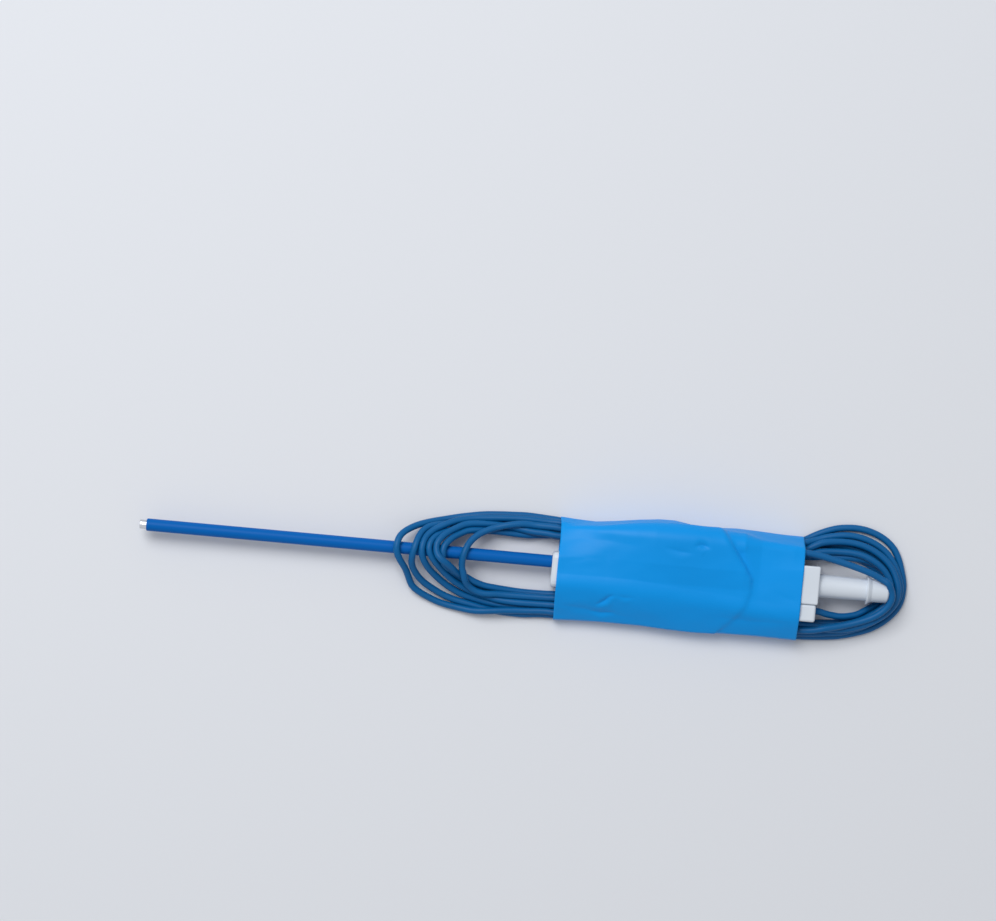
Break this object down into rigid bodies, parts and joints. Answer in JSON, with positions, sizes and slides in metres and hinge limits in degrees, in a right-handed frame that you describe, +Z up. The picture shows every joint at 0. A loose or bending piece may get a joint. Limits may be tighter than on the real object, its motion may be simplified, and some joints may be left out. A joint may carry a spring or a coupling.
{
  "type": "suction coagulator",
  "caption": "Foot-switched suction coagulator: a thumb-vented handle with a long insulated suction tube, a barbed hose connector and an attached cord with a pin plug, wound up in a film sleeve.",
  "frame": {"origin": "middle of the box round the instrument and its sleeve, on the surface it lies on; the free cord's hank and its plug aren't counted", "axes": "+X runs from the suction tip to the hose connector, +Y points to the thumb vent's side, +Z is up from the surface"},
  "size_m": [0.2842, 0.0436, 0.0162],
  "materials": {
    "white_plastic": "satin moulded white plastic",
    "tube_steel": "drawn stainless tube, malleable",
    "tube_insulation": "smooth blue heat-shrunk insulation",
    "cord_jacket": "soft blue vinyl cord jacket, slightly satin",
    "plug_plastic": "moulded blue vinyl",
    "sleeve_film": "thin bright blue film, drawn tight and creased",
    "plated_brass": "plated turned brass",
    "spring_steel": "bright spring steel",
    "seal_rubber": "dull black rubber",
    "conductor_copper": "bare stranded copper, drawn as one strand"
  },
  "bodies": {
    "root": {"channel_seal": "seal_rubber", "contact_clip": "plated_brass", "cord_conductor": "conductor_copper", "cord_grip": "white_plastic", "cord_hank": "cord_jacket", "cord_inside": "cord_jacket", "cord_lead_out": "cord_jacket", "cord_plug_end": "cord_jacket", "cord_sleeve": "sleeve_film", "handle_shell_left": "white_plastic", "handle_shell_right": "white_plastic", "hose_connector": "white_plastic", "plug_body": "plug_plastic", "plug_pin": "plated_brass", "plug_relief": "plug_plastic", "plug_spring": "spring_steel", "suction_channel": "white_plastic", "suction_tube": "tube_steel", "tube_insulation": "tube_insulation"}
  },
  "joints": []
}
